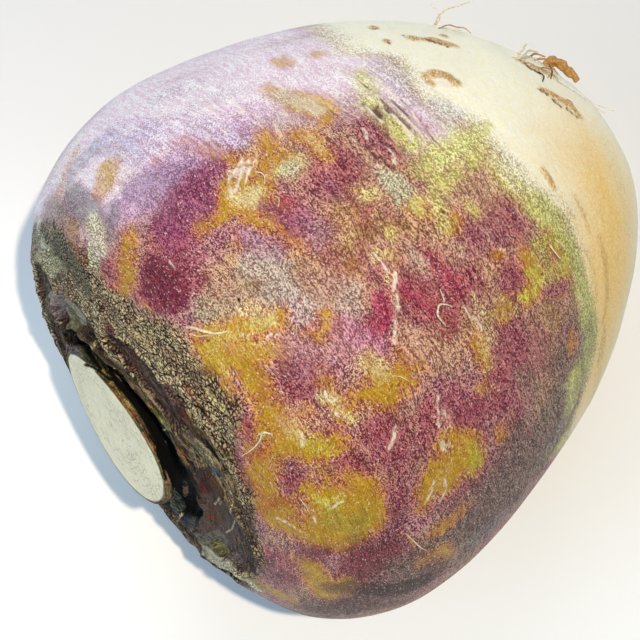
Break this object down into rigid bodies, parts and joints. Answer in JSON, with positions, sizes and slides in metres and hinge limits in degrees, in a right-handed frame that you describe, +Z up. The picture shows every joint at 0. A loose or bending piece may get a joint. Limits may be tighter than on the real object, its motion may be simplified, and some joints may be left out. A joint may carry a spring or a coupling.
{
  "type": "rutabaga",
  "caption": "Whole rutabaga lying on its side, with a cut neck, a corky crown and a trimmed taproot.",
  "frame": {"origin": "on the surface that the root lies on, under the middle of its bounding box", "axes": "+X from the cut neck to the taproot, +Z up, +Y completes a right-handed frame"},
  "size_m": [0.1335, 0.1244, 0.1239],
  "materials": {
    "root_skin": "waxy purple skin over cream flesh, scuffed and netted with cork",
    "dry_fibre": "dry root hairs, fibres and peeled skin"
  },
  "bodies": {
    "root": {"rutabaga": "root_skin"}
  },
  "joints": []
}
